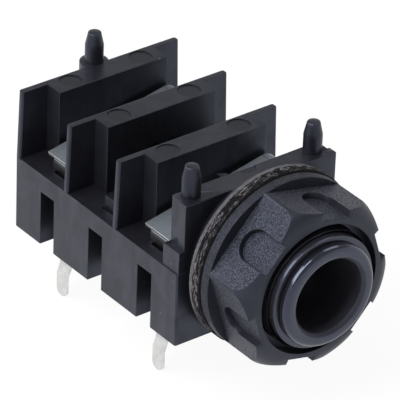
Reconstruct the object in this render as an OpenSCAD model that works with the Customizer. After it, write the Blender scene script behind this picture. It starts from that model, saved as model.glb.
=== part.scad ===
// A 6.35 mm switched mono jack socket for a panel: a moulded housing with a threaded bush,
// a round nut with six flats, a fibre washer and two pairs of sheet-metal contacts.
// Millimetres. Z is up and the plug goes in along +Y. The origin is on the plug's axis,
// on the front face of the front plate.

/* [Body] */
// Length from the front plate's face to the back of the rear wall
body_l = 22.4; // [21:0.1:25]
// Width of the base across its side faces
body_w = 16.5; // [16:0.1:18]
// Height of the base from its underside to its ledge
base_h = 6.78; // [6.4:0.02:7.4]
// Height of the plug's axis above the underside
axis_h = 6.68; // [6.4:0.02:7.2]
// Height of the ribs above the ledge
rib_h = 6.28; // [6:0.02:7.5]
// Thickness of the ribs' thin outer walls
wall_t = 0.6; // [0.5:0.05:0.9]
// Thickness of a rib at its middle block, wall included
block_t = 2.35; // [1.8:0.05:2.4]
// Width of the ribs' middle blocks
block_w = 11.1; // [10:0.1:12]
// Amount by which a rib narrows on each side towards its top
rib_draft = 0.22; // [0:0.02:0.3]

/* [Front plate] */
// Thickness of the front plate
plate_t = 2.15; // [1.9:0.05:2.4]
// Width of the front plate's rear part
plate_w = 14.74; // [14:0.02:15.4]
// Amount by which the front rim stands out on each side
rim_out = 0.26; // [0.1:0.02:0.4]
// Thickness of the front rim
rim_t = 0.9; // [0.5:0.1:1.4]
// Height of the side steps above the ledge
step_h = 2; // [1:0.1:3]
// Distance of those steps from the base's sides
step_in = 0.12; // [0.05:0.01:0.3]
// Amount by which the plate's top lies below the ribs' tops
plate_drop = 0.1; // [0:0.05:0.3]
// Width of the ring-shaped seat that the washer bears on
seat_w = 1.75; // [1.2:0.05:2.1]
// Height of that seat
seat_h = 0.85; // [0.5:0.05:1.2]

/* [Side slots] */
// Width of the slots between the base's teeth
slot_w = 1.85; // [1.7:0.05:2.2]
// Depth of the slots from the side faces
slot_d = 2.9; // [2.7:0.1:3.2]
// Height of the slots above the underside
slot_h = 5.1; // [4.5:0.1:5.6]
// Amount by which the holes above the left slots open beyond the contacts
hole_out = 0.25; // [0.1:0.05:0.5]
// Height above the ledge of the tongue that fills the empty left hole
tongue_h = 1.1; // [0.8:0.1:1.4]

/* [Bush] */
// Length of the bush from the front plate's face to its lip
bush_l = 9.3; // [9:0.1:11]
// Radius of the thread over its crests
thread_r = 5.25; // [5.1:0.05:5.4]
// Radius of the smooth nose
nose_r = 4.55; // [4.4:0.01:4.8]
// Length of the smooth nose
nose_l = 1.15; // [0.8:0.05:1.6]
// Radius of the rounding on the nose's edge
nose_round = 0.5; // [0.3:0.05:0.8]
// Amount by which the thread tapers at its front end
taper_d = 0.45; // [0.3:0.05:0.5]
// Length of that taper
taper_l = 1; // [0.6:0.1:1.2]
// Depth of the groove between the thread and the nose
neck_d = 0.2; // [0.1:0.05:0.4]
// Width of that groove
neck_w = 0.25; // [0.15:0.05:0.5]
// Radius of the bore for the plug
bore_r = 3.3; // [3.2:0.05:3.4]
// Amount by which the bore opens out at the lip
lead_in = 0.28; // [0.1:0.02:0.4]
// Radius of the plug's passage through the ribs
passage_r = 3.9; // [3.8:0.05:4]
// Distance of that passage's axis below the plug's
passage_drop = 0.55; // [0.4:0.05:0.6]
// Radius of the hole in the rear wall for the plug's nose
tip_hole_r = 2.6; // [2:0.1:3]

/* [Pegs] */
// Radius of the locating pegs
peg_r = 0.8; // [0.7:0.02:0.82]
// Radius of the pegs at their tips
peg_tip_r = 0.55; // [0.4:0.05:0.6]
// Height of the pegs
peg_h = 2.74; // [2.2:0.02:3.2]
// Height of the pegs' straight stretch, below their taper
peg_straight = 1.6; // [1.2:0.1:2]
// Distance of the front pegs from the sides of the front plate
peg_in = 1.22; // [1:0.02:1.6]
// Distance of the front pegs from the rear face of the front plate
peg_back = 0.85; // [0.8:0.05:1.1]
// Radius of the boss that carries the rear peg
boss_r = 1.25; // [1.1:0.05:1.5]
// Height of that boss below the ribs' tops
boss_h = 3.2; // [2:0.1:3.4]
// Distance of the rear peg behind the rear wall
boss_out = 0.5; // [0.3:0.05:0.9]

/* [Nut and washer] */
// Thickness of the nut's wall at its flange
nut_t = 2.45; // [2.3:0.05:2.6]
// Length of the nut
nut_l = 5.4; // [5:0.1:5.6]
// Thickness of the nut's wall at its flats
flat_t = 1.48; // [1.4:0.02:1.6]
// Length of the nut's round flange
flange_l = 0.9; // [0.7:0.05:1.3]
// Radius of the rounding at the nut's front edge
nut_round = 1.6; // [1:0.1:1.6]
// Width of the recess around the thread at the nut's front
recess_w = 0.5; // [0.3:0.05:0.6]
// Depth of that recess
recess_l = 1.2; // [0.8:0.1:1.6]
// Width of the pockets in the flats
pocket_w = 2.8; // [2.4:0.1:3]
// Depth of the pockets
pocket_d = 0.55; // [0.4:0.05:0.6]
// Length of flat left between the flange and a pocket
pocket_gap = 0.75; // [0.5:0.05:1.2]
// Angle of the first flat around the axis, from +X towards +Z
flat_angle = 137.2; // [120:0.2:180]
// Width of the washer's ring
washer_w = 2.3; // [2:0.05:2.6]
// Thickness of the washer
washer_t = 1.45; // [1.2:0.05:1.8]
// Gap between the thread and the washer's hole
washer_gap = 0.35; // [0.2:0.05:0.6]

/* [Contacts] */
// Thickness of the contact strip
strip_t = 0.3; // [0.2:0.05:0.35]
// Gap between a spring leaf and the ribs beside it
leaf_gap = 0.45; // [0.2:0.05:0.7]
// Width of the switch contacts' heads
head_w = 2.45; // [2:0.05:3]
// Width of the legs and pins
pin_w = 1.35; // [1.1:0.05:1.5]
// Length of the pins below the underside
pin_l = 5.2; // [4:0.1:6]
// Distance of the switch contacts' uprights from the base's left side
upright_in = 1.55; // [1.4:0.05:1.8]
// Distance of the switch contacts' legs from the base's left side
switch_in = 2.05; // [1.8:0.05:2.2]
// Height of the slope between an upright and its leg
kink_run = 0.8; // [0.6:0.1:1.2]
// Distance of the springs' legs from the base's right side
spring_in = 2.15; // [1.9:0.05:2.2]
// Sideways step in the pins below the underside
pin_step = 0.3; // [0:0.05:0.4]
// Distance of that step below the underside
step_down = 2.4; // [1.8:0.1:2.6]
// Height of the step's slope
step_run = 0.8; // [0.5:0.1:1]
// Distance of the leaf's free end from the base's left side
leaf_in = 1.3; // [1:0.05:1.5]
// Height of the leaf's free end above the ledge
leaf_end_h = 1.25; // [1.2:0.05:1.6]
// Slope of the leaf
leaf_slope = 11.5; // [11:0.5:13]
// Radius of the bend between the leaf and its leg
leaf_bend = 1; // [0.7:0.1:1.2]
// Length of the switch contacts' heads
head_l = 1.5; // [1:0.1:2]
// Radius of the bend below a head
head_bend = 0.5; // [0.3:0.05:0.6]

/* [Hidden] */
$fn = 64;
ribs = 3;            // the rear wall included
over = 1;            // overrun of a cutting shape past the face it opens
turn_gap = 0.05;     // gap between faces that turn or slide on each other
leg_gap = 0.08;      // gap around a leg in its hole
touch_gap = 0.05;    // gap between a leaf and its switch contact
mark_r = 1;          // ejector mark on a rib
mark_depth = 0.12;
mark_x = 3.6;
edge_mark_r = 0.85;  // half-round ejector mark on the front plate
arc_steps = 8;       // straight steps in a bent strip or a rounded edge

z_under = -axis_h;
z_ledge = z_under + base_h;
z_rib = z_ledge + rib_h;
z_plate = z_rib - plate_drop;
rib_pitch = (body_l - plate_t) / ribs;
wall_front = body_l - block_t;
rim_w = plate_w + 2 * rim_out;
peg_x = plate_w / 2 - peg_in;
peg_y = plate_t - peg_back;
seat_r = thread_r + seat_w;
nose_y = bush_l - nose_l;
thread_l = nose_y - neck_w;
neck_r = nose_r - neck_d;
washer_y = seat_h + turn_gap;
washer_hole_r = thread_r + washer_gap;
washer_r = washer_hole_r + washer_w;
nut_y = washer_y + washer_t + turn_gap;
nut_bore_r = thread_r + turn_gap;
nut_r = nut_bore_r + nut_t;
flat_r = nut_bore_r + flat_t;
recess_r = nut_bore_r + recess_w;
upright_x = body_w / 2 - upright_in;
switch_x = body_w / 2 - switch_in;
spring_x = body_w / 2 - spring_in;
leaf_w = rib_pitch - block_t - 2 * leaf_gap;
leg_hole_w = pin_w + 2 * leg_gap;
kink_top = z_under + slot_h - strip_t;
kink_low = kink_top - kink_run;
pin_end = z_under - pin_l;
step_top = z_under - step_down;
step_low = step_top - step_run;

// Back face of rib i, counted from the rear wall, and the chamber in front of it
function rib_back(i) = body_l - i * rib_pitch;
function chamber_back(i) = rib_back(i) - block_t;
function chamber_mid(i) = (chamber_back(i) + rib_back(i + 1)) / 2;
tip_chamber = 0;
spare_chamber = 1;
sleeve_chamber = ribs - 1;

// Outline of a strip of even thickness along a line of points
function unit(v) = v / norm(v);
function square_to(v) = [-v[1], v[0]];
function way(p, i) = unit(p[min(i + 1, len(p) - 1)] - p[min(i, len(p) - 2)]);
function beside(p, i, d) =
    let (before = square_to(way(p, max(i - 1, 0))), after = square_to(way(p, i)))
    let (middle = unit(before + after))
    p[i] + middle * d / (middle * after);
function strip_outline(p, t) = concat(
    [for (i = [0 : len(p) - 1]) beside(p, i, t / 2)],
    [for (i = [len(p) - 1 : -1 : 0]) beside(p, i, -t / 2)]);
function arc(centre, r, from, to) =
    [for (i = [0 : arc_steps])
        let (a = from + (to - from) * i / arc_steps)
        centre + r * [cos(a), sin(a)]];

// Stands a shape that is drawn along +Z forward from the front plate, y in front of it
module forward(y = 0) {
    translate([0, -y, 0]) rotate([90, 0, 0]) children();
}

// Stands an outline drawn in X and Z across the part, w wide and centred on y
module across(y, w) {
    translate([0, y + w / 2, 0]) rotate([90, 0, 0]) linear_extrude(w) children();
}

// Box from two corners
module box(low, high) {
    translate(low) cube(high - low);
}

// Housing

// Rib i: a thin wall across the base with drafted ends, and a thicker block at its middle
module rib(i) {
    across(rib_back(i) - wall_t / 2, wall_t)
        polygon([[-body_w / 2, z_ledge - over], [body_w / 2, z_ledge - over],
                 [body_w / 2, z_ledge], [body_w / 2 - rib_draft, z_rib],
                 [rib_draft - body_w / 2, z_rib], [-body_w / 2, z_ledge]]);
    box([-block_w / 2, chamber_back(i), z_ledge - over], [block_w / 2, rib_back(i), z_rib]);
}

// Front plate with a shoulder on each side, and a thin rim that stands out along its front
module front_plate() {
    shoulder = z_ledge + step_h;
    step_x = body_w / 2 - step_in;
    across(plate_t / 2, plate_t)
        polygon([[-step_x, z_ledge - over], [step_x, z_ledge - over],
                 [step_x, shoulder], [plate_w / 2, shoulder], [plate_w / 2, z_plate],
                 [-plate_w / 2, z_plate], [-plate_w / 2, shoulder], [-step_x, shoulder]]);
    box([-rim_w / 2, 0, z_ledge], [rim_w / 2, rim_t, z_plate]);
}

// Bush: seat, thread, groove and rounded nose as one turned shape
module bush() {
    forward() rotate_extrude()
        polygon(concat([[0, 0], [seat_r, 0], [seat_r, seat_h], [thread_r, seat_h],
                        [thread_r, thread_l - taper_l],
                        [thread_r - taper_d, thread_l], [neck_r, thread_l],
                        [neck_r, nose_y], [nose_r, nose_y]],
                       arc([nose_r - nose_round, bush_l - nose_round], nose_round, 0, 90),
                       [[0, bush_l]]));
}

module peg(x, y, z) {
    translate([x, y, z - over]) cylinder(r = peg_r, h = peg_straight + over);
    translate([x, y, z + peg_straight])
        cylinder(r1 = peg_r, r2 = peg_tip_r, h = peg_h - peg_straight);
}

module rear_boss() {
    translate([0, body_l + boss_out, z_rib - boss_h]) cylinder(r = boss_r, h = boss_h);
    peg(0, body_l + boss_out, z_rib);
}

module plug_way() {
    forward(-plate_t - over) cylinder(r = bore_r, h = plate_t + bush_l + 2 * over);
    forward(bush_l - lead_in) cylinder(r1 = bore_r, r2 = bore_r + lead_in, h = lead_in);
    translate([0, 0, -passage_drop])
        forward(-wall_front) cylinder(r = passage_r, h = wall_front - plate_t);
    forward(-body_l - over) cylinder(r = tip_hole_r, h = block_t + 2 * over);
}

// Slots for the legs, on both sides of each chamber
module side_slots() {
    for (i = [0 : ribs - 1])
        for (side = [-1, 1])
            translate([side * (body_w - slot_d + over) / 2, chamber_mid(i),
                       z_under + (slot_h - over) / 2])
                cube([slot_d + over, slot_w, slot_h + over], center = true);
}

// Hole from the ledge into a slot, between two distances from the middle
module leg_hole(i, from, to) {
    box([from, chamber_mid(i) - leg_hole_w / 2, z_under + slot_h - over],
        [to, chamber_mid(i) + leg_hole_w / 2, z_ledge + over]);
}

// Holes that lead the legs down; the left one of the empty chamber is part filled by a tongue
module leg_holes() {
    outer = -upright_x - strip_t / 2;
    for (i = [0 : ribs - 1]) {
        leg_hole(i, outer - hole_out, i == spare_chamber ? outer : outer + strip_t + leg_gap);
        leg_hole(i, spring_x - strip_t / 2 - leg_gap, spring_x + strip_t / 2 + leg_gap);
    }
}

// Tongue that stands where the empty chamber has no contact
module tongue() {
    translate([-upright_x, chamber_mid(spare_chamber), z_ledge + (tongue_h - over) / 2])
        cube([strip_t, pin_w, tongue_h + over], center = true);
}

module ejector_marks() {
    for (i = [0 : ribs - 1])
        for (x = [-mark_x, mark_x])
            translate([x, rib_back(i) - block_t / 2, z_rib - mark_depth])
                cylinder(r = mark_r, h = over);
    translate([0, plate_t, z_plate - mark_depth]) cylinder(r = edge_mark_r, h = over);
}

module housing() {
    color("#2b2c30") difference() {
        union() {
            box([-body_w / 2, 0, z_under], [body_w / 2, body_l, z_ledge]);
            for (i = [0 : ribs - 1]) rib(i);
            front_plate();
            bush();
            for (side = [-1, 1]) peg(side * peg_x, peg_y, z_plate);
            rear_boss();
            tongue();
        }
        plug_way();
        side_slots();
        leg_holes();
        ejector_marks();
    }
}

// Nut and washer

module nut_blank() {
    rotate_extrude()
        polygon(concat([[nut_bore_r, 0], [nut_r, 0]],
                       arc([nut_r - nut_round, nut_l - nut_round], nut_round, 0, 90),
                       [[recess_r, nut_l], [recess_r, nut_l - recess_l],
                        [nut_bore_r, nut_l - recess_l]]));
}

// Round flange with a six-sided prism in front of it
module six_flats() {
    cylinder(r = nut_r + over, h = flange_l);
    rotate(flat_angle - 30) cylinder(r = flat_r / cos(30), h = nut_l + over, $fn = 6);
}

// Round-ended pocket in a flat, open to the front
module nut_pocket() {
    pocket_mid = flange_l + pocket_gap + pocket_w / 2;
    translate([flat_r - pocket_d, 0, pocket_mid]) rotate([0, 90, 0])
        cylinder(r = pocket_w / 2, h = pocket_d + over);
    box([flat_r - pocket_d, -pocket_w / 2, pocket_mid],
        [flat_r + over, pocket_w / 2, nut_l + over]);
}

module nut() {
    color("#2f3034") forward(nut_y) difference() {
        intersection() {
            nut_blank();
            six_flats();
        }
        for (k = [0 : 5]) rotate(flat_angle + 60 * k) nut_pocket();
    }
}

module washer() {
    color("#6b5f5a") forward(washer_y) difference() {
        cylinder(r = washer_r, h = washer_t);
        translate([0, 0, -over]) cylinder(r = washer_hole_r, h = washer_t + 2 * over);
    }
}

// Contacts

// Straight run of strip, w wide and centred on y, between two points in X and Z
module run(y, w, from, to) {
    across(y, w) polygon(strip_outline([from, to], strip_t));
}

// Bend of the strip around a centre, from one angle to another
module bend(y, w, centre, r, from, to) {
    translate([centre[0], y + w / 2, centre[1]]) rotate([90, 0, 0]) rotate(from)
        rotate_extrude(angle = to - from)
            translate([r - strip_t / 2, 0]) square([strip_t, w]);
}

function on_bend(centre, r, angle) = centre + r * [cos(angle), sin(angle)];

// Leg with a sideways step and a round-ended pin, from a height down to below the housing.
// Its upper end may stand at another distance, with a kink inside the slot.
module leg(x, y, top, upper) {
    out = x + sign(x) * pin_step;
    path = concat(upper == x ? [[x, top]] : [[upper, top], [upper, kink_top], [x, kink_low]],
                  [[x, step_top], [out, step_low], [out, pin_end]]);
    intersection() {
        across(y, pin_w) polygon(strip_outline(path, strip_t));
        union() {
            translate([x, y, (top + pin_end + pin_w / 2) / 2])
                cube([over * 4, pin_w, top - pin_end - pin_w / 2], center = true);
            translate([x - 2 * over, y, pin_end + pin_w / 2]) rotate([0, 90, 0])
                cylinder(r = pin_w / 2, h = 4 * over);
        }
    }
}

// Spring: a leaf that rises over the plug's way, turns at the right and goes down as a leg
leaf_normal = 90 + leaf_slope;
leaf_start = [leaf_in - body_w / 2, z_ledge + leaf_end_h];
bend_x = spring_x - leaf_bend;
bend_centre = [bend_x, leaf_z(bend_x) - leaf_bend / cos(leaf_slope)];
function leaf_z(x) = leaf_start[1] + tan(leaf_slope) * (x - leaf_start[0]);

module spring(y) {
    run(y, leaf_w, leaf_start, on_bend(bend_centre, leaf_bend, leaf_normal));
    bend(y, leaf_w, bend_centre, leaf_bend, 0, leaf_normal);
    run(y, leaf_w, [spring_x, bend_centre[1]], [spring_x, z_ledge + touch_gap]);
    leg(spring_x, y, z_ledge + strip_t, spring_x);
}

// Switch contact: an upright whose head lies along the underside of the leaf's free end
head_start = -upright_x + head_bend;
head_gap = (strip_t + touch_gap) / cos(leaf_slope);
function under_leaf(x) = leaf_z(x) - head_gap;

module switch_contact(y) {
    centre = [head_start, under_leaf(head_start) - head_bend / cos(leaf_slope)];
    head_end = head_start + head_l;
    run(y, head_w, [-upright_x, z_ledge], [-upright_x, centre[1]]);
    bend(y, head_w, centre, head_bend, leaf_normal, 180);
    run(y, head_w, on_bend(centre, head_bend, leaf_normal), [head_end, under_leaf(head_end)]);
    leg(-switch_x, y, z_ledge + strip_t, -upright_x);
}

module tip_spring() {
    color("#b9bec4") spring(chamber_mid(tip_chamber));
}

module tip_switch_contact() {
    color("#a9aeb4") switch_contact(chamber_mid(tip_chamber));
}

module sleeve_spring() {
    color("#b9bec4") spring(chamber_mid(sleeve_chamber));
}

module sleeve_switch_contact() {
    color("#a9aeb4") switch_contact(chamber_mid(sleeve_chamber));
}

housing();
nut();
washer();
tip_spring();
tip_switch_contact();
sleeve_spring();
sleeve_switch_contact();
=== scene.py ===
# Looks of the audio jack socket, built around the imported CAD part.
# Meshes are worked out in millimetres and end up in metres, in the CAD frame.
import math

import bmesh
import bpy
from mathutils import Matrix, Vector, noise


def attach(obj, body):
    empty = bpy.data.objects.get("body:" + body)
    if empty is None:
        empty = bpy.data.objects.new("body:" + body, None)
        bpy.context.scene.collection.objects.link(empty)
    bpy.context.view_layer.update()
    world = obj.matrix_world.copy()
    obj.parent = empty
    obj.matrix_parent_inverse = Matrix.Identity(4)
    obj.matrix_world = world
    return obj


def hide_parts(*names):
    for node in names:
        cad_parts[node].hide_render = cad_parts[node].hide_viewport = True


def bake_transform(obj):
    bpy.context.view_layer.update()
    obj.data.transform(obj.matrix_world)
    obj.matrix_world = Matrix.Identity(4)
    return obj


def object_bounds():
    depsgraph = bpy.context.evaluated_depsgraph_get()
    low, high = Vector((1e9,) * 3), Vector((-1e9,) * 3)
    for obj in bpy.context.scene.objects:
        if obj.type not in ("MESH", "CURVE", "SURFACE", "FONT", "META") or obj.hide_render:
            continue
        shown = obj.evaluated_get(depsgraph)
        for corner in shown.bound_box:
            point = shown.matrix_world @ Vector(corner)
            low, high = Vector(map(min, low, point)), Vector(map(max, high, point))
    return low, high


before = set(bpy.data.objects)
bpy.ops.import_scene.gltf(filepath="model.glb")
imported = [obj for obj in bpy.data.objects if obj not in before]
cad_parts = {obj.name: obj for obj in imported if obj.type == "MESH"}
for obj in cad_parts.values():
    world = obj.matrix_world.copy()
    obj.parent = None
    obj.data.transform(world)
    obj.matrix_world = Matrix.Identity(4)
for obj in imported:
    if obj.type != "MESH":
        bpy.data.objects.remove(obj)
cad_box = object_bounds()
scene = bpy.context.scene
MM = 0.001

# Sizes of the CAD part, in millimetres; the bush's lengths count from the front plate's face
THREAD_R = 5.25
THREAD_PITCH = 0.75
SOLID_TAPER_FROM = 6.9
SOLID_TAPER_TO = 7.9
SOLID_TAPER_R = 4.8
SOLID_NECK_TO = 8.15
NECK_R = 4.35
NOSE_R = 4.55
MOUTH_R = 3.58
BORE_R = 3.3
PLATE_T = 2.15
PLATE_Z = 6.28
UNDERSIDE = -6.68
MARK_FLOORS = (6.26, 6.16)
WASHER_BACK = -0.90
WASHER_FRONT = -2.35
WASHER_R = 7.9
WASHER_HOLE_R = 5.6
NUT_BACK = -2.40
FLANGE_L = 0.9
RECESS_R = 5.8
FLAT_ANGLE = 137.2
FLAT_STEP = 60
FLAT_R = 6.78
POCKET_D = 0.55

# The thread's end and the groove as the photograph shows them, further forward than in the CAD part
TAPER_FROM = 7.9
TAPER_TO = 8.35
TAPER_D = 0.25
NECK_TO = 8.47

# Detail that only the looks have
THREAD_FROM = 1.0
THREAD_TO = 8.25
THREAD_D = 0.36
CREST_GAP = 0.03
MARK_LIFT = 0.05
WALL_ROUND = 0.2
WALL_SEGMENTS = 4
PLATE_ROUND = 0.03
EDGE_ROUND = 0.07
NUT_ROUND = 0.06
STRIP_ROUND = 0.035
TEAR_D = 0.14
FRAY_D = 0.03
TEAR_MAX = 0.22

# Where a spring bends: slices across its strip, and the span over which it blends
SLICE_FROM = 3.25
SLICE_STEP = 0.25
SLICES = 8

# Limits that tell faces and edges apart
NOSE_FROM = 6.0
PLATE_RIM_Z = 6.0
WALL_X = 7.9
WALL_H = 6.0
MARK_AREA = 3.5
FLANGE_R = 7.0
LEAF_Z = 1.0
SHEARED_W = 0.1
BORE_EASE = 0.2
NEAR = 0.02
MARGIN = 0.05
LEVEL = 0.99  # least upward share of a level face's normal
FORWARD = 0.9  # least forward share of a front face's normal
SIDEWAYS = 0.1  # most forward or rearward share of a side face's normal
FLAT_SLACK = 1  # degrees

# Tolerances of the meshes, and angles in degrees up to which edges are shaded smooth
MERGE = 0.002
SLICE_MERGE = 0.0005
FLATNESS = math.radians(0.5)
SHARP_ANGLE = 25
ROOM = 2.2  # roundings that have to fit beside each other on a face
MOULD_SMOOTH = 42
STRIP_SMOOTH = 35
RIM_SMOOTH = 60

# Places of the looks on the housing, the nut and a strip, after the first look, which has the rest
NOSE, THREAD, MARK, BORE = range(1, 5)
GRAINED, FLANGE = range(1, 3)
EDGE, PIN = range(1, 3)

# Sockets of a mix node for colours
MIX_FACTOR, MIX_A, MIX_B = 0, 6, 7
MIX_RESULT = 2

# Tint of the light that the black plastic mirrors
SHEEN = (0.64, 0.71, 1.0, 1.0)
# Colour of a strip where its pin leaves the housing; on the pins it is painted shade from the
# housing above them
PIN_TONE = (0.36, 0.38, 0.42)


# Mesh helpers


def node_mesh(node):
    """Copy of a CAD node's mesh in millimetres, merged, with each flat face whole."""
    bm = bmesh.new()
    bm.from_mesh(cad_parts[node].data)
    bmesh.ops.scale(bm, vec=(1 / MM,) * 3, verts=bm.verts)
    bmesh.ops.remove_doubles(bm, verts=bm.verts, dist=MERGE)
    bmesh.ops.dissolve_limit(bm, angle_limit=FLATNESS, verts=bm.verts, edges=bm.edges)
    return bm


def face_width(face):
    """Width of a long narrow face."""
    return 2 * face.calc_area() / face.calc_perimeter()


def reach(face, edge):
    """How far the face goes from the line of one of its edges."""
    start = edge.verts[0].co
    along = (edge.verts[1].co - start).normalized()
    offsets = [v.co - start for v in face.verts]
    return max((o - along * o.dot(along)).length for o in offsets)


def axis_distance(point):
    """How far a point lies from the plug's axis."""
    return math.hypot(point.x, point.z)


def soften(bm, width, segments=2, chosen=None):
    """Rounds the sharp outer edges, apart from those beside a face too narrow for it."""
    bmesh.ops.recalc_face_normals(bm, faces=bm.faces)
    edges = []
    for e in bm.edges:
        if len(e.link_faces) != 2 or not e.is_convex:
            continue
        if math.degrees(e.calc_face_angle(0)) < SHARP_ANGLE:
            continue
        if min(reach(f, e) for f in e.link_faces) < ROOM * width:
            continue
        if chosen and not chosen(e):
            continue
        edges.append(e)
    bmesh.ops.bevel(
        bm,
        geom=edges,
        offset=width,
        offset_type="OFFSET",
        segments=segments,
        profile=0.5,
        affect="EDGES",
        clamp_overlap=False,
        loop_slide=True,
        material=-1,
    )


def to_object(bm, name, smooth_angle, weighted=True):
    """Makes a millimetre mesh into an object in metres with smooth shading."""
    bmesh.ops.dissolve_degenerate(bm, dist=MERGE, edges=bm.edges)
    bmesh.ops.recalc_face_normals(bm, faces=bm.faces)
    bmesh.ops.connect_verts_concave(bm, faces=[f for f in bm.faces if len(f.verts) > 4])
    for e in bm.edges:
        e.smooth = math.degrees(e.calc_face_angle(0)) < smooth_angle
    for f in bm.faces:
        f.smooth = True
    bmesh.ops.scale(bm, vec=(MM,) * 3, verts=bm.verts)
    mesh = bpy.data.meshes.new(name)
    bm.to_mesh(mesh)
    bm.free()
    imported = mesh.attributes.get("custom_normal")
    if imported:
        mesh.attributes.remove(imported)
    obj = bpy.data.objects.new(name, mesh)
    scene.collection.objects.link(obj)
    if weighted:
        mod = obj.modifiers.new("flat_faces", "WEIGHTED_NORMAL")
        mod.keep_sharp = True
        mod.weight = 100
    return obj


def cut(bm, cutter):
    """Takes the closed millimetre mesh cutter out of the millimetre mesh bm."""
    pair = []
    for name, b in (("cut_body", bm), ("cut_tool", cutter)):
        mesh = bpy.data.meshes.new(name)
        b.to_mesh(mesh)
        b.free()
        obj = bpy.data.objects.new(name, mesh)
        scene.collection.objects.link(obj)
        pair.append(obj)
    body, tool = pair
    mod = body.modifiers.new("cut", "BOOLEAN")
    mod.operation = "DIFFERENCE"
    mod.solver = "MANIFOLD"
    mod.object = tool
    finished = body.evaluated_get(bpy.context.evaluated_depsgraph_get())
    made = bmesh.new()
    made.from_mesh(finished.to_mesh())
    finished.to_mesh_clear()
    for obj in pair:
        mesh = obj.data
        bpy.data.objects.remove(obj)
        bpy.data.meshes.remove(mesh)
    return made


def ring_grid(bm, rings):
    """Skins a closed tube through equal rings of points; the last ring joins the first."""
    rows = [[bm.verts.new(p) for p in ring] for ring in rings]
    count = len(rows[0])
    for i, row in enumerate(rows):
        after = rows[(i + 1) % len(rows)]
        for k in range(count):
            n = (k + 1) % count
            bm.faces.new((row[k], row[n], after[n], after[k]))


def around(r, y, angle):
    """Point at a radius and an angle around the plug's axis."""
    return Vector((r * math.cos(angle), y, r * math.sin(angle)))


def turns(steps):
    """Angles of a full turn in equal steps."""
    return [2 * math.pi * k / steps for k in range(steps)]


def thread_cutter():
    """Closed ring whose inner wall is the thread of the bush."""
    bm = bmesh.new()
    steps = 150
    rows = 126
    rings = []
    for i in range(rows + 1):
        front = THREAD_FROM + (THREAD_TO - THREAD_FROM) * i / rows
        # The ridges get shallower towards the taper and run out at the end of the thread
        fade = min(1, max(0.3, 0.5 * (TAPER_FROM - front)), 4 * (THREAD_TO - front))
        taper = max(0, front - TAPER_FROM) / (TAPER_TO - TAPER_FROM)
        crest = THREAD_R + CREST_GAP - TAPER_D * taper
        ring = []
        for k, angle in enumerate(turns(steps)):
            wave = math.cos(2 * math.pi * (front / THREAD_PITCH - k / steps))
            r = crest - THREAD_D * fade * (0.5 - 0.5 * wave) ** 0.8
            ring.append(around(r, -front, angle))
        rings.append(ring)
    for front in (THREAD_TO, THREAD_FROM):
        rings.append([around(THREAD_R + 1, -front, angle) for angle in turns(steps)])
    ring_grid(bm, rings)
    bmesh.ops.recalc_face_normals(bm, faces=bm.faces)
    return bm


# Material helpers


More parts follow.
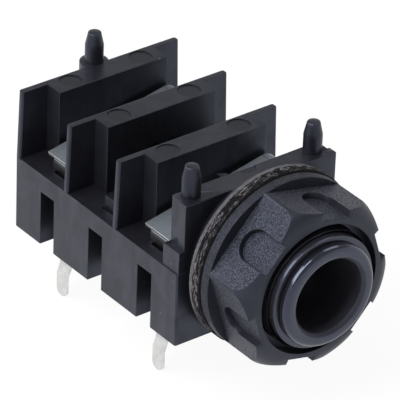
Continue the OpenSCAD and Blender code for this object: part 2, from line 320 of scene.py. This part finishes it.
class Look:
    """A procedural material: a Principled shader and the nodes that feed it."""

    def __init__(self, name):
        self.material = bpy.data.materials.new(name)
        self.material.use_nodes = True
        tree = self.material.node_tree
        self.nodes = tree.nodes
        self.links = tree.links
        self.shader = self.nodes["Principled BSDF"]
        self.place = self.nodes.new("ShaderNodeTexCoord").outputs["Object"]

    def set(self, **values):
        """Sets plain values on the shader; an underscore in a name stands for a space."""
        for key, value in values.items():
            self.shader.inputs[key.replace("_", " ")].default_value = value

    def feed(self, socket, output):
        self.links.new(output, self.shader.inputs[socket])

    def node(self, kind, inputs=None, **settings):
        """Adds a node; an input is either a plain value or another node's output."""
        made = self.nodes.new(kind)
        for key, value in settings.items():
            setattr(made, key, value)
        for key, value in (inputs or {}).items():
            if isinstance(value, bpy.types.NodeSocket):
                self.links.new(value, made.inputs[key])
            else:
                made.inputs[key].default_value = value
        return made

    def stretched(self, x, y, z):
        """Object coordinates in millimetres, times a factor on each axis."""
        return self.node(
            "ShaderNodeMapping",
            {"Vector": self.place, "Scale": (x / MM, y / MM, z / MM)},
        ).outputs["Vector"]

    def along(self, axis):
        """Object coordinate in millimetres on one axis."""
        place = self.stretched(1, 1, 1)
        return self.node("ShaderNodeSeparateXYZ", {"Vector": place}).outputs[axis]

    def calc(self, operation, a, b):
        return self.node("ShaderNodeMath", {0: a, 1: b}, operation=operation).outputs["Value"]

    def noise(self, scale, detail=4, roughness=0.5, vector=None, distortion=0):
        return self.node(
            "ShaderNodeTexNoise",
            {
                "Vector": vector or self.stretched(1, 1, 1),
                "Scale": scale,
                "Detail": detail,
                "Roughness": roughness,
                "Distortion": distortion,
            },
        ).outputs["Fac"]

    def ramp(self, fac, *stops):
        """Colour that runs through stops, each a place from 0 to 1 and a colour."""
        made = self.node("ShaderNodeValToRGB", {"Fac": fac})
        elements = made.color_ramp.elements
        while len(elements) < len(stops):
            elements.new(0.5)
        for element, (place, colour) in zip(elements, stops):
            element.position = place
            element.color = (*colour, 1)
        return made.outputs["Color"]

    def span(self, value, low, high, to_low, to_high):
        """Maps a value from one range to another and stops at the ends."""
        return self.node(
            "ShaderNodeMapRange",
            {
                "Value": value,
                "From Min": low,
                "From Max": high,
                "To Min": to_low,
                "To Max": to_high,
            },
        ).outputs["Result"]

    def mix(self, fac, a, b):
        """Colour a where fac is 0, and b where it is 1."""
        made = self.node("ShaderNodeMix", data_type="RGBA")
        self.links.new(fac, made.inputs[MIX_FACTOR])
        for index, colour in ((MIX_A, a), (MIX_B, b)):
            if isinstance(colour, bpy.types.NodeSocket):
                self.links.new(colour, made.inputs[index])
            else:
                made.inputs[index].default_value = (*colour, 1)
        return made.outputs[MIX_RESULT]

    def specks(self, scale, radius_mm):
        """1 on a few small dots of dust, 0 elsewhere."""
        distance = self.node(
            "ShaderNodeTexVoronoi", {"Vector": self.stretched(1, 1, 1), "Scale": scale}
        ).outputs["Distance"]
        return self.span(distance, radius_mm * scale, radius_mm * scale * 1.5, 1, 0)

    def height(self, low, high):
        """0 below one height in millimetres, 1 above another, with a ragged border."""
        sway = self.span(self.noise(1.3, 3), 0.3, 0.7, -0.4, 0.4)
        return self.span(self.calc("ADD", self.along("Z"), sway), low, high, 0, 1)

    def bump(self, height, strength, distance_mm, normal=None):
        inputs = {
            "Height": height,
            "Strength": strength,
            "Distance": distance_mm * MM,
        }
        if normal:
            inputs["Normal"] = normal
        return self.node("ShaderNodeBump", inputs).outputs["Normal"]


def plastic():
    """Satin moulded plastic with faint upright flow streaks and a very fine skin."""
    look = Look("moulded_black")
    streaks = look.noise(1.0, 5, 0.6, look.stretched(0.9, 0.9, 0.16), 0.4)
    cloud = look.noise(0.35, 3)
    skin = look.noise(14, 2)
    tone = look.mix(
        look.span(streaks, 0.3, 0.72, 0, 1),
        (0.0055, 0.0055, 0.0068),
        (0.0115, 0.0115, 0.0145),
    )
    tone = look.mix(look.span(cloud, 0.3, 0.7, 0, 0.35), tone, (0.008, 0.008, 0.010))
    look.feed("Base Color", look.mix(look.specks(0.6, 0.04), tone, (0.16, 0.16, 0.17)))
    look.feed("Roughness", look.span(streaks, 0.25, 0.75, 0.4, 0.3))
    patches = look.noise(0.45, 4, 0.55, look.stretched(1, 1, 0.6), 0.9)
    look.feed("Specular IOR Level", look.span(patches, 0.4, 0.6, 0.46, 0.64))
    fine = look.bump(skin, 0.08, 0.02)
    look.feed("Normal", look.bump(streaks, 0.06, 0.05, fine))
    look.set(Specular_Tint=SHEEN)
    return look.material


def mark():
    """Smoother, darker floors of the ejector marks."""
    look = Look("mark_black")
    cloud = look.noise(1.5, 3)
    look.feed("Base Color", look.mix(cloud, (0.004, 0.004, 0.005), (0.009, 0.009, 0.011)))
    look.set(Roughness=0.32, Specular_IOR_Level=0.42, Specular_Tint=SHEEN)
    return look.material


def gloss():
    """Polished plastic of the bush's nose."""
    look = Look("polished_black")
    cloud = look.noise(0.6, 3)
    look.feed("Base Color", look.mix(cloud, (0.006, 0.006, 0.0075), (0.010, 0.010, 0.0125)))
    look.feed("Roughness", look.span(cloud, 0.3, 0.7, 0.12, 0.22))
    look.feed("Normal", look.bump(look.noise(2.2, 2), 0.03, 0.05))
    look.set(Specular_IOR_Level=0.9, Specular_Tint=SHEEN)
    return look.material


def grained():
    """Spark-eroded grain on the nut's flats and pocket floors."""
    look = Look("grained_black")
    grain = look.noise(8, 2, 0.6)
    coarse = look.noise(1.2, 2, 0.5)
    sparkle = look.ramp(grain, (0.4, (0.005, 0.005, 0.006)), (0.66, (0.024, 0.025, 0.03)))
    patches = look.span(coarse, 0.3, 0.7, 0, 0.4)
    look.feed("Base Color", look.mix(patches, sparkle, (0.014, 0.014, 0.018)))
    look.feed("Roughness", look.span(grain, 0.3, 0.7, 0.55, 0.32))
    look.feed("Normal", look.bump(grain, 1.0, 0.14))
    look.feed("Specular IOR Level", look.span(grain, 0.4, 0.6, 0.35, 1.0))
    look.set(Specular_Tint=SHEEN)
    return look.material


def flange():
    """Rim of the nut's flange, with the same grain but duller."""
    look = Look("flange_black")
    grain = look.noise(7, 2, 0.6)
    tone = look.ramp(grain, (0.38, (0.006, 0.006, 0.007)), (0.66, (0.026, 0.027, 0.032)))
    look.feed("Base Color", tone)
    look.feed("Normal", look.bump(grain, 0.8, 0.12))
    look.set(Roughness=0.5, Specular_IOR_Level=0.3, Specular_Tint=SHEEN)
    return look.material


def inner():
    """Glossy, faintly dusty plastic of the thread."""
    look = Look("dusty_black")
    dust = look.noise(2.5, 4, 0.6)
    look.feed("Base Color", look.mix(dust, (0.010, 0.010, 0.0125), (0.020, 0.0195, 0.024)))
    look.feed("Roughness", look.span(dust, 0.3, 0.7, 0.16, 0.28))
    look.set(Specular_IOR_Level=0.8, Specular_Tint=SHEEN)
    return look.material


def bore():
    """Dull plastic inside the bore, with a lighter colour than the body's that is painted light
    standing in for the light bouncing into the bore.
    """
    look = Look("bore_black")
    cloud = look.noise(1.2, 3)
    # Painted light: a lighter copy of the black plastic, standing in for light bouncing into the
    # bore
    look.feed("Base Color", look.mix(cloud, (0.017, 0.0165, 0.021), (0.028, 0.027, 0.034)))
    look.set(Roughness=0.5, Specular_IOR_Level=0.4, Specular_Tint=SHEEN)
    return look.material


def nut_plastic():
    """Smoother plastic of the nut's rounded front and its recess."""
    look = Look("nut_black")
    cloud = look.noise(0.5, 4, 0.6)
    skin = look.noise(9, 2)
    patches = look.span(cloud, 0.3, 0.7, 0, 1)
    look.feed("Base Color", look.mix(patches, (0.007, 0.007, 0.0085), (0.013, 0.013, 0.0155)))
    look.feed("Roughness", look.span(cloud, 0.25, 0.75, 0.44, 0.34))
    look.feed("Normal", look.bump(skin, 0.16, 0.03))
    look.set(Specular_IOR_Level=0.5, Specular_Tint=SHEEN)
    return look.material


def fibre():
    """Punched fibre: a smooth grey skin at the back, torn into light and dark fibres in front, and
    painted shade that darkens the front edge beside the nut's flange.
    """
    look = Look("punched_fibre")
    torn = look.noise(1.05, 5, 0.62, look.stretched(1, 3.2, 1), 0.9)
    strand = look.noise(3.4, 4, 0.65, look.stretched(0.7, 2.6, 0.7), 0.6)
    colour = look.ramp(
        strand,
        (0.40, (0.007, 0.0065, 0.0075)),
        (0.49, (0.020, 0.0185, 0.021)),
        (0.59, (0.150, 0.140, 0.154)),
        (0.70, (0.074, 0.072, 0.081)),
    )
    worn = look.span(strand, 0.35, 0.65, 0, 1)
    skin = look.mix(worn, (0.060, 0.059, 0.066), (0.120, 0.118, 0.131))
    depth = look.along("Y")
    # Painted shade: the front edge beside the nut's flange is kept near black, with no fibres
    past_flange_shade = look.span(depth, -2.25, -2.0, 0, 1)
    fibres_past_shade = look.calc("MULTIPLY", look.span(torn, 0.47, 0.54, 0, 1), past_flange_shade)
    inside = look.mix(fibres_past_shade, (0.0055, 0.0053, 0.006), colour)
    rim = look.span(depth, -1.5, -1.3, 0, 1)
    ragged = look.calc("ADD", rim, look.span(torn, 0.35, 0.65, -0.5, 0.5))
    look.feed("Base Color", look.mix(look.span(ragged, 0.3, 0.7, 0, 1), inside, skin))
    look.feed("Roughness", look.span(strand, 0.3, 0.7, 0.9, 0.6))
    look.feed("Normal", look.bump(strand, 0.7, 0.12, look.bump(torn, 0.8, 0.2)))
    look.set(Specular_IOR_Level=0.08)
    return look.material


def plated():
    """Plated strip: dull tin with fine rolling lines and light stains."""
    look = Look("tin_plate")
    lines = look.noise(3, 4, 0.6, look.stretched(0.25, 4.5, 0.25))
    stain = look.noise(0.9, 4, 0.55)
    patches = look.span(stain, 0.3, 0.7, 0, 1)
    look.feed("Base Color", look.mix(patches, (0.185, 0.21, 0.24), (0.285, 0.315, 0.35)))
    look.feed("Roughness", look.span(stain, 0.3, 0.7, 0.62, 0.5))
    look.feed("Normal", look.bump(lines, 0.12, 0.03, look.bump(stain, 0.08, 0.1)))
    look.set(Metallic=1.0)
    return look.material


def upright_strip():
    """Darker strip of the switch contacts' uprights, turning to the pin colour towards the
    underside.
    """
    look = Look("upright_strip_metal")
    stain = look.noise(1.4, 4, 0.6)
    patches = look.span(stain, 0.3, 0.7, 0, 1)
    dull = look.mix(patches, (0.045, 0.045, 0.046), (0.085, 0.085, 0.085))
    look.feed("Base Color", look.mix(look.height(-6.9, -4.6), PIN_TONE, dull))
    look.feed("Roughness", look.span(stain, 0.3, 0.7, 0.45, 0.3))
    look.set(Metallic=1.0)
    return look.material


def tinned():
    """Pins, with painted shade from the housing that darkens them towards the underside."""
    look = Look("tinned_pin")
    flow = look.noise(1.6, 4, 0.55)
    patches = look.span(flow, 0.3, 0.7, 0, 1)
    tin = look.mix(patches, (0.60, 0.60, 0.59), (0.74, 0.74, 0.73))
    # Painted shade: towards the housing's underside the pins turn to the darker PIN_TONE
    look.feed("Base Color", look.mix(look.height(-9.2, -7.2), tin, PIN_TONE))
    look.feed("Roughness", look.span(flow, 0.3, 0.7, 0.36, 0.24))
    look.feed("Normal", look.bump(flow, 0.2, 0.08))
    look.set(Metallic=1.0)
    return look.material


def bright():
    """Sheared edges of the strip."""
    look = Look("bright_tin")
    flow = look.noise(1.6, 4, 0.55)
    patches = look.span(flow, 0.3, 0.7, 0, 1)
    look.feed("Base Color", look.mix(patches, (0.60, 0.60, 0.59), (0.76, 0.76, 0.75)))
    look.feed("Roughness", look.span(flow, 0.3, 0.7, 0.52, 0.38))
    look.feed("Normal", look.bump(flow, 0.2, 0.08))
    look.set(Metallic=1.0)
    return look.material


# Pieces


def give(obj, body, nodes, slot, *materials):
    """Gives a piece its looks and sets it on its body, in place of the CAD nodes."""
    for m in materials:
        obj.data.materials.append(m)
    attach(obj, body)
    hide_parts(*nodes)


def wall_end(edge):
    """True for the upright edges at the ends of the ribs' thin walls."""
    a, b = (v.co for v in edge.verts)
    return min(abs(a.x), abs(b.x)) > WALL_X and abs(a.z - b.z) > WALL_H


def plate_rear(edge):
    """True for the rear edge of the front plate's top, which has pegs and a mark close to it."""
    return all(
        abs(v.co.y - PLATE_T) < NEAR / 2 and v.co.z > PLATE_RIM_Z for v in edge.verts
    )


def plate_rear_top(edge):
    """True for the level part of that edge."""
    return plate_rear(edge) and all(v.co.z > PLATE_Z - NEAR / 2 for v in edge.verts)


def mark_floor(face):
    """True for the floor of an ejector mark."""
    if face.normal.z < LEVEL or face.calc_area() > MARK_AREA:
        return False
    z = face.calc_center_median().z
    return min(abs(z - floor) for floor in MARK_FLOORS) < NEAR


def move_rings(bm, *moves):
    """Moves turned edges, each from a radius and a distance in front to another pair."""
    for v in bm.verts:
        r = axis_distance(v.co)
        for (old_r, old_l), (new_r, new_l) in moves:
            if abs(r - old_r) < NEAR and abs(-v.co.y - old_l) < NEAR:
                v.co = Vector((v.co.x * new_r / r, -new_l, v.co.z * new_r / r))
                break


def make_housing(*looks):
    """Housing with its body, nose, thread, ejector mark and bore looks."""
    bm = node_mesh("housing")
    move_rings(
        bm,
        ((THREAD_R, SOLID_TAPER_FROM), (THREAD_R, TAPER_FROM)),
        ((SOLID_TAPER_R, SOLID_TAPER_TO), (THREAD_R - TAPER_D, TAPER_TO)),
        ((NECK_R, SOLID_TAPER_TO), (NECK_R, TAPER_TO)),
        ((NECK_R, SOLID_NECK_TO), (NECK_R, NECK_TO)),
        ((NOSE_R, SOLID_NECK_TO), (NOSE_R, NECK_TO)),
    )
    soften(bm, WALL_ROUND, WALL_SEGMENTS, chosen=wall_end)
    soften(bm, PLATE_ROUND, chosen=plate_rear_top)
    soften(bm, EDGE_ROUND, chosen=lambda e: not plate_rear(e))
    bm = cut(bm, thread_cutter())
    for f in bm.faces:
        place = f.calc_center_median()
        front = -place.y
        out = axis_distance(place)
        if front > 0 and BORE_R - BORE_EASE < out < MOUTH_R and f.normal.y > -FORWARD:
            f.material_index = BORE
        elif out < THREAD_R + MARGIN and THREAD_FROM < front < TAPER_TO + NEAR:
            f.material_index = THREAD
        elif front > NOSE_FROM:
            f.material_index = NOSE
        elif mark_floor(f):
            f.material_index = MARK
            bmesh.ops.translate(bm, verts=f.verts, vec=(0, 0, MARK_LIFT))
    obj = to_object(bm, "housing_moulding", MOULD_SMOOTH)
    give(obj, "socket_body", ["housing"], "housing", *looks)


def on_flat(face):
    """True for the nut's flats and the floors of its pockets."""
    n = face.normal
    if abs(n.y) > NEAR:
        return False
    turn = (math.degrees(math.atan2(n.z, n.x)) - FLAT_ANGLE) % FLAT_STEP
    if min(turn, FLAT_STEP - turn) > FLAT_SLACK:
        return False
    out = n.dot(face.calc_center_median())
    return FLAT_R - POCKET_D - NEAR < out < FLAT_R + NEAR


def outside_recess(edge):
    """True for the nut's edges that don't border the recess or the bore."""
    return max(axis_distance(v.co) for v in edge.verts) > RECESS_R + MARGIN


def make_nut(*looks):
    """Nut with its smooth, grained and flange looks."""
    bm = node_mesh("nut")
    for f in bm.faces:
        place = f.calc_center_median()
        side = abs(f.normal.y) < SIDEWAYS
        if on_flat(f):
            f.material_index = GRAINED
        elif place.y > NUT_BACK - FLANGE_L and side and axis_distance(place) > FLANGE_R:
            f.material_index = FLANGE
    soften(bm, NUT_ROUND, chosen=outside_recess)
    obj = to_object(bm, "nut_moulding", MOULD_SMOOTH)
    give(obj, "nut_body", ["nut"], "nut", *looks)


def make_washer(look):
    """Ring with a smooth back edge and a torn rim."""
    bm = bmesh.new()
    steps = 360
    rim_rows = 13
    rim_back = WASHER_BACK - 0.18
    rim_l = WASHER_BACK - WASHER_FRONT - 0.3
    # Radius, place along the bush and roughness of each ring
    outline = [
        (WASHER_HOLE_R, WASHER_BACK, 0.0),
        (6.4, WASHER_BACK, 0.0),
        (7.2, WASHER_BACK, 0.0),
        (WASHER_R - 0.32, WASHER_BACK, 0.0),
        (WASHER_R - 0.12, WASHER_BACK - 0.06, 0.03),
        (WASHER_R - 0.03, rim_back, 0.05),
    ]
    for k in range(1, rim_rows):
        share = k / rim_rows
        outline.append((WASHER_R - 0.02, rim_back - share * rim_l, 0.25 + 0.75 * share))
    outline += [
        (WASHER_R - 0.10, WASHER_FRONT + 0.05, 0.7),
        (WASHER_R - 0.25, WASHER_FRONT, 0.4),
        (7.0, WASHER_FRONT, 0.0),
        (WASHER_HOLE_R, WASHER_FRONT, 0.0),
    ]
    rings = []
    for r, y, rough in outline:
        ring = []
        for angle in turns(steps):
            p = around(r, y, angle)
            torn = noise.fractal(Vector((p.x * 1.5, p.y * 4.2, p.z * 1.5)), 0.9, 2.1, 4)
            fine = noise.noise(Vector((p.x * 6, p.y * 9, p.z * 6)))
            sink = rough * (TEAR_D * max(0, torn) + FRAY_D * max(0, fine))
            ring.append(around(r - min(sink, TEAR_MAX), y, angle))
        rings.append(ring)
    ring_grid(bm, rings)
    obj = to_object(bm, "fibre_washer", RIM_SMOOTH, weighted=False)
    give(obj, "washer_body", ["washer"], "fibre", look)


def strip_mesh(node):
    """Contact strip with eased edges, sliced at its bend and where the pin starts."""
    bm = node_mesh(node)
    soften(bm, STRIP_ROUND)
    slices = [((SLICE_FROM + SLICE_STEP * k, 0, 0), (1, 0, 0)) for k in range(SLICES)]
    slices.append(((0, 0, UNDERSIDE), (0, 0, 1)))
    for place, normal in slices:
        bmesh.ops.bisect_plane(
            bm,
            geom=bm.verts[:] + bm.edges[:] + bm.faces[:],
            plane_co=place,
            plane_no=normal,
            dist=SLICE_MERGE,
        )
    for f in bm.faces:
        z = f.calc_center_median().z
        if z < UNDERSIDE:
            f.material_index = PIN
        elif face_width(f) < SHEARED_W and z > LEAF_Z:
            f.material_index = EDGE
    return bm


def make_contacts(plate_look, upright_look, edge_look, pin_look):
    """Switch contacts on the socket's body, and the springs, sliced at their bend and left
    unattached in the CAD frame.
    """
    for name in ("tip", "sleeve"):
        strip = strip_mesh(name + "_switch_contact")
        contact = to_object(strip, name + "_switch_strip", STRIP_SMOOTH)
        looks = (upright_look, plate_look, pin_look)
        give(contact, "socket_body", [name + "_switch_contact"], "contact", *looks)
        strip = strip_mesh(name + "_spring")
        spring = to_object(strip, name + "_spring_strip", STRIP_SMOOTH)
        for look in (plate_look, edge_look, pin_look):
            spring.data.materials.append(look)
        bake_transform(spring)
        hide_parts(name + "_spring")


make_housing(plastic(), gloss(), inner(), mark(), bore())
make_nut(nut_plastic(), grained(), flange())
make_washer(fibre())
make_contacts(plated(), upright_strip(), bright(), tinned())


# Camera at the photograph's place

AZIMUTH = math.radians(-38.28)
ELEVATION = math.radians(31.52)
ROLL = math.radians(2.19)
EYE = Vector((-184.59, -225.99, 183.06)) * MM
FRAME_PX = 400
FOCAL_PX = 4266.9
SENSOR_MM = 36

back = Vector(
    (
        math.sin(AZIMUTH) * math.cos(ELEVATION),
        -math.cos(AZIMUTH) * math.cos(ELEVATION),
        math.sin(ELEVATION),
    )
)
level = (-back).cross(Vector((0, 0, 1))).normalized()
upright = level.cross(-back)
right = math.cos(ROLL) * level + math.sin(ROLL) * upright
up = math.cos(ROLL) * upright - math.sin(ROLL) * level
camera = bpy.data.objects.new("camera", bpy.data.cameras.new("camera"))
camera.data.sensor_width = SENSOR_MM
camera.data.lens = SENSOR_MM * FOCAL_PX / FRAME_PX
camera.data.clip_start = 0.01
camera.data.clip_end = 10
turn = Matrix((right, up, back)).transposed().to_4x4()
camera.matrix_world = Matrix.Translation(EYE) @ turn
scene.collection.objects.link(camera)
scene.camera = camera


# Floor and light, in metres

FLOOR_GAP = 0.00002
FLOOR_GLOW = 0.93  # share of plain white that the camera and mirrors see in the floor
WORLD_LEVEL = 0.41


def make_floor():
    """White floor that turns up into a low wall all around, well away from the part."""
    bm = bmesh.new()
    steps = 96
    low = cad_box[0].z - FLOOR_GAP
    outline = [(0.3, 0), (1.1, 0), (1.25, 0.02), (1.36, 0.08), (1.4, 0.18), (1.41, 0.52)]
    rows = []
    for r, z in outline:
        ring = [(r * math.cos(a), r * math.sin(a), low + z) for a in turns(steps)]
        rows.append([bm.verts.new(p) for p in ring])
    bm.faces.new(rows[0])
    for near, far in zip(rows, rows[1:]):
        for k in range(steps):
            n = (k + 1) % steps
            bm.faces.new((near[k], near[n], far[n], far[k]))
    bmesh.ops.recalc_face_normals(bm, faces=bm.faces)
    for f in bm.faces:
        f.smooth = True
    mesh = bpy.data.meshes.new("floor")
    bm.to_mesh(mesh)
    bm.free()
    floor = bpy.data.objects.new("floor", mesh)
    scene.collection.objects.link(floor)
    look = Look("pale_floor")
    look.feed("Base Color", look.mix(look.noise(0.02, 2), (0.86, 0.86, 0.86), (0.9, 0.9, 0.9)))
    look.set(Roughness=0.9, Specular_IOR_Level=0.1)
    path = look.node("ShaderNodeLightPath").outputs
    mirrored = look.calc("MAXIMUM", path["Is Glossy Ray"], path["Is Transmission Ray"])
    seen = look.calc("MAXIMUM", path["Is Camera Ray"], mirrored)
    share = look.calc("MULTIPLY", seen, FLOOR_GLOW)
    glow = look.node("ShaderNodeEmission", {"Color": (1, 1, 1, 1), "Strength": 1.0})
    blend = look.node("ShaderNodeMixShader", {"Fac": share})
    look.links.new(look.shader.outputs["BSDF"], blend.inputs[1])
    look.links.new(glow.outputs["Emission"], blend.inputs[2])
    look.links.new(blend.outputs["Shader"], look.nodes["Material Output"].inputs["Surface"])
    floor.data.materials.append(look.material)


def softbox(name, place, target, size, watts, upright):
    """Area lamp that faces the target; its second size lies along upright."""
    lamp = bpy.data.lights.new(name, "AREA")
    lamp.shape = "RECTANGLE"
    lamp.size, lamp.size_y = size
    lamp.energy = watts
    away = (Vector(place) - Vector(target)).normalized()
    across = Vector(upright).cross(away).normalized()
    turn = Matrix((across, away.cross(across), away)).transposed().to_4x4()
    obj = bpy.data.objects.new(name, lamp)
    obj.matrix_world = Matrix.Translation(Vector(place)) @ turn
    scene.collection.objects.link(obj)


make_floor()
middle = (0, 0.007, 0)
softbox("strip_box", (-0.28, -0.054, 0.347), middle, (0.11, 0.46), 1.6, (0.71, 0, 0.71))
softbox("left_box", (-0.313, 0.219, 0.313), middle, (0.28, 0.46), 2.2, (0, 1, 0))
softbox("top_box", (0.27, 0.007, 0.42), middle, (0.25, 0.25), 0.5, (0, 1, 0))
world = bpy.data.worlds.new("studio")
scene.world = world
world.use_nodes = True
background = world.node_tree.nodes["Background"].inputs
background["Color"].default_value = (1, 1, 1, 1)
background["Strength"].default_value = WORLD_LEVEL
scene.view_settings.view_transform = "Standard"
